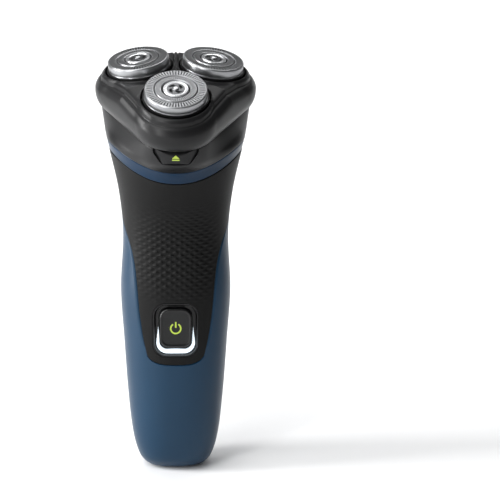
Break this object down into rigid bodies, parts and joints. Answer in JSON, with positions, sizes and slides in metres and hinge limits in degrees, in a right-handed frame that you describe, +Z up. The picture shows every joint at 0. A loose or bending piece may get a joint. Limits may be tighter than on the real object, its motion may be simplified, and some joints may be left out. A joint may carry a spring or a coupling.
{
  "type": "cordless rotary shaver",
  "caption": "Cordless rotary shaver: waisted two-tone handle with a soft front grip, lit power button and tilted flip-open head unit carrying round rocking cutting heads.",
  "frame": {"origin": "centre of the outline's box, on the resting plane of the base", "axes": "+Z up the handle, -Y towards the front with the power button, +X to the viewer's right when facing the front"},
  "size_m": [0.0606, 0.0592, 0.1619],
  "materials": {
    "blue_shell": "satin blue",
    "blue_band": "satin blue",
    "soft_grip": "soft-touch matte",
    "black_trim": "semi-gloss black",
    "head_black": "satin black",
    "inner_plastic": "moulded",
    "ring_black": "satin",
    "screw_steel": "zinc plated",
    "pin_steel": "ground",
    "cell_wrap": "shrink-wrapped",
    "board_green": "solder mask",
    "lens_white": "frosted, lit",
    "seal_rubber": "soft",
    "can_steel": "drawn",
    "magnet": "sintered",
    "winding_copper": "enamelled wire and laminations",
    "gear_plastic": "acetal",
    "mark_lime": "printed",
    "guard_steel": "fine ground",
    "cutter_steel": "ground"
  },
  "bodies": {
    "handle": {"rear_shell": "blue_shell", "front_grip": "soft_grip", "accent_band": "blue_band", "collar": "head_black", "chassis": "inner_plastic", "chassis_screws": "screw_steel", "battery_cell": "cell_wrap", "battery_tabs": "screw_steel", "circuit_board": "board_green", "tact_switch": "screw_steel", "status_led": "lens_white", "light_guide": "lens_white", "button_bezel": "black_trim", "button_gasket": "seal_rubber", "charging_socket": "black_trim", "socket_pins": "screw_steel", "motor_can": "can_steel", "motor_magnets": "magnet", "motor_cradle": "seal_rubber", "motor_mount": "inner_plastic", "motor_screws": "screw_steel", "gear_axles": "pin_steel", "deck_cover": "head_black", "deck_seal": "seal_rubber", "deck_screws": "screw_steel", "unit_hinge_pin": "pin_steel"},
    "power_button": {"power_button": "black_trim", "power_symbol": "mark_lime"},
    "release_button": {"release_button": "head_black", "release_mark": "mark_lime"},
    "shaving_unit": {"head_frame": "head_black", "retaining_frame": "inner_plastic"},
    "rotor": {"motor_armature": "winding_copper", "motor_shaft": "pin_steel", "motor_pinion": "gear_plastic"},
    "drive_1": {"drive_gear_1": "gear_plastic", "coupling_spring_1": "pin_steel", "drive_coupling_1": "gear_plastic"},
    "flex_head_1": {"head_ring_1": "ring_black", "shaving_guard_1": "guard_steel", "guard_cap_1": "guard_steel"},
    "spinning_cutter_1": {"cutter_1": "cutter_steel"},
    "drive_2": {"drive_gear_2": "gear_plastic", "coupling_spring_2": "pin_steel", "drive_coupling_2": "gear_plastic"},
    "flex_head_2": {"head_ring_2": "ring_black", "shaving_guard_2": "guard_steel", "guard_cap_2": "guard_steel"},
    "spinning_cutter_2": {"cutter_2": "cutter_steel"},
    "drive_3": {"drive_gear_3": "gear_plastic", "coupling_spring_3": "pin_steel", "drive_coupling_3": "gear_plastic"},
    "flex_head_3": {"head_ring_3": "ring_black", "shaving_guard_3": "guard_steel", "guard_cap_3": "guard_steel"},
    "spinning_cutter_3": {"cutter_3": "cutter_steel"}
  },
  "joints": [
    {"name": "power_press", "type": "slide", "parent": "handle", "child": "power_button", "axis": [0, 1, 0], "range_m": [0, 0.0008], "stiffness_N_per_m": 900},
    {"name": "release_press", "type": "slide", "parent": "handle", "child": "release_button", "axis": [0, 0.9272, 0.3746], "range_m": [0, 0.0012], "stiffness_N_per_m": 900},
    {"name": "unit_open", "type": "hinge", "parent": "handle", "child": "shaving_unit", "pos_m": [0, 0.02485, 0.14804], "axis": [-1, 0, 0], "range_deg": [0, 100]},
    {"name": "motor_spin", "type": "hinge", "parent": "handle", "child": "rotor", "pos_m": [0, 0.01102, 0.12088], "axis": [0, -0.3746, 0.9272], "continuous": true},
    {"name": "gear_spin_1", "type": "hinge", "parent": "handle", "child": "drive_1", "pos_m": [0, -0.01001, 0.13288], "axis": [0, -0.3746, 0.9272], "continuous": true},
    {"name": "gear_spin_2", "type": "hinge", "parent": "handle", "child": "drive_2", "pos_m": [0.01299, 0.01085, 0.14131], "axis": [0, -0.3746, 0.9272], "continuous": true},
    {"name": "gear_spin_3", "type": "hinge", "parent": "handle", "child": "drive_3", "pos_m": [-0.01299, 0.01085, 0.14131], "axis": [0, -0.3746, 0.9272], "continuous": true},
    {"name": "head_rock_1", "type": "hinge", "parent": "shaving_unit", "child": "flex_head_1", "pos_m": [0, -0.01508, 0.14449], "axis": [1, 0, 0], "range_deg": [-5, 5], "stiffness_Nm_per_rad": 0.02},
    {"name": "head_rock_2", "type": "hinge", "parent": "shaving_unit", "child": "flex_head_2", "pos_m": [0.0133, 0.00627, 0.15312], "axis": [-0.5, 0.803, 0.3244], "range_deg": [-5, 5], "stiffness_Nm_per_rad": 0.02},
    {"name": "head_rock_3", "type": "hinge", "parent": "shaving_unit", "child": "flex_head_3", "pos_m": [-0.0133, 0.00627, 0.15312], "axis": [-0.5, -0.803, -0.3244], "range_deg": [-5, 5], "stiffness_Nm_per_rad": 0.02},
    {"name": "cutter_spin_1", "type": "hinge", "parent": "flex_head_1", "child": "spinning_cutter_1", "pos_m": [0, -0.01611, 0.14621], "axis": [0, -0.515, 0.8572], "continuous": true},
    {"name": "cutter_spin_2", "type": "hinge", "parent": "flex_head_2", "child": "spinning_cutter_2", "pos_m": [0.01357, 0.00568, 0.15501], "axis": [0.1355, -0.2975, 0.9451], "continuous": true},
    {"name": "cutter_spin_3", "type": "hinge", "parent": "flex_head_3", "child": "spinning_cutter_3", "pos_m": [-0.01357, 0.00568, 0.15501], "axis": [-0.1355, -0.2975, 0.9451], "continuous": true}
  ],
  "couplings": [
    {"joint": "gear_spin_1", "follows": "motor_spin", "ratio": -0.36364},
    {"joint": "gear_spin_2", "follows": "motor_spin", "ratio": -0.36364},
    {"joint": "gear_spin_3", "follows": "motor_spin", "ratio": -0.36364},
    {"joint": "cutter_spin_1", "follows": "motor_spin", "ratio": -0.36364},
    {"joint": "cutter_spin_2", "follows": "motor_spin", "ratio": -0.36364},
    {"joint": "cutter_spin_3", "follows": "motor_spin", "ratio": -0.36364}
  ]
}
